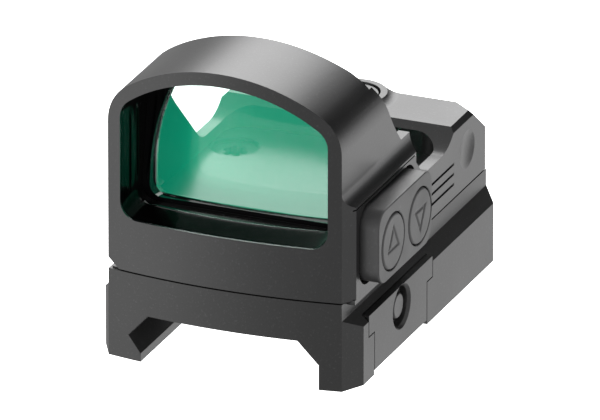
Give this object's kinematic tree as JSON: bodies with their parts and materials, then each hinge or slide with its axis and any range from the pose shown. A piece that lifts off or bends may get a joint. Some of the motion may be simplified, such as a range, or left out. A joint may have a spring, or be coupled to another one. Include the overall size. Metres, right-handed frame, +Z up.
{
  "type": "red dot finder",
  "caption": "Compact open reflex sight: arched hood with a tilted coated lens, side rubber keys, coin-cell body and a clamp mount for a cross-slot accessory rail.",
  "frame": {"origin": "middle of the rail seat, the flat ceiling of the mount's rail channel", "axes": "+X towards the key side, -Y towards the target (objective side), +Z up; the optical axis runs along Y"},
  "size_m": [0.0304, 0.0422, 0.0336],
  "materials": {
    "anodised_body": "black hard anodised, fine bead-blasted grain",
    "anodised_mount": "black hard anodised, fine bead-blasted grain, slightly coarser than the body",
    "coated_glass": "clear optical glass with a green-reflecting dichroic coating",
    "clear_glass": "small clear cover pane",
    "bedding_black": "glossy black optical bedding compound",
    "key_rubber": "matte dark grey moulded silicone",
    "contact_steel": "stamped dome, satin",
    "flex_board": "amber polyimide film",
    "green_board": "green solder mask",
    "black_plastic": "matte black moulding",
    "cell_steel": "nickel-plated can",
    "contact_brass": "gold-plated spring strip",
    "seal_rubber": "black nitrile rubber",
    "led_package": "pale moulded package",
    "guide_metal": "machined, satin",
    "dark_steel": "black-oxide steel",
    "plain_steel": "ground steel pin"
  },
  "bodies": {
    "body": {"housing": "anodised_body", "lens": "coated_glass", "lens_seal": "bedding_black", "button_pad": "key_rubber", "key_switches": "contact_steel", "switch_board": "flex_board", "main_board": "green_board", "control_chip": "black_plastic", "bay_cover": "black_plastic", "coin_cell": "cell_steel", "battery_spring_contact": "contact_brass", "battery_rim_contact": "contact_brass", "battery_seal": "seal_rubber", "emitter_window": "clear_glass", "elevation_o_ring": "seal_rubber", "windage_o_ring": "seal_rubber", "mount_base": "anodised_mount", "mounting_screws": "dark_steel", "locating_posts": "plain_steel"},
    "brighter_key": {"brighter_key": "key_rubber"},
    "dimmer_key": {"dimmer_key": "key_rubber"},
    "clamp_bolt": {"clamp_bolt": "dark_steel"},
    "clamp_plate": {"clamp_plate": "anodised_mount"},
    "elevation_screw": {"elevation_screw": "dark_steel"},
    "emitter_carriage": {"emitter_carriage": "guide_metal"},
    "windage_screw": {"windage_screw": "dark_steel"},
    "emitter_sled": {"emitter_sled": "guide_metal", "emitter_led": "led_package"}
  },
  "joints": [
    {"name": "brighter_key_press", "type": "slide", "parent": "body", "child": "brighter_key", "axis": [-1, 0, 0], "range_m": [0, 0.00035], "stiffness_N_per_m": 3000},
    {"name": "dimmer_key_press", "type": "slide", "parent": "body", "child": "dimmer_key", "axis": [-1, 0, 0], "range_m": [0, 0.00035], "stiffness_N_per_m": 3000},
    {"name": "clamp_bolt_turn", "type": "hinge", "parent": "body", "child": "clamp_bolt", "pos_m": [-0.01, -0.0065, -0.0005], "axis": [-1, 0, 0], "range_deg": [0, 1440]},
    {"name": "clamp_plate_slide", "type": "slide", "parent": "body", "child": "clamp_plate", "axis": [1, 0, 0], "range_m": [0, 0.002]},
    {"name": "elevation_turn", "type": "hinge", "parent": "body", "child": "elevation_screw", "pos_m": [0, 0.0155, 0.0126], "axis": [0, 0, 1], "range_deg": [-360, 360]},
    {"name": "elevation_slide", "type": "slide", "parent": "body", "child": "emitter_carriage", "axis": [0, 0, 1], "range_m": [-0.00035, 0.00035]},
    {"name": "windage_turn", "type": "hinge", "parent": "body", "child": "windage_screw", "pos_m": [-0.012, 0.0155, 0.0078], "axis": [1, 0, 0], "range_deg": [-360, 360]},
    {"name": "windage_slide", "type": "slide", "parent": "emitter_carriage", "child": "emitter_sled", "axis": [1, 0, 0], "range_m": [-0.00035, 0.00035]}
  ],
  "couplings": [
    {"joint": "clamp_bolt_turn", "follows": "clamp_plate_slide", "rad_per_m": 12566},
    {"joint": "elevation_turn", "follows": "elevation_slide", "rad_per_m": 17952},
    {"joint": "windage_turn", "follows": "windage_slide", "rad_per_m": 17952}
  ]
}
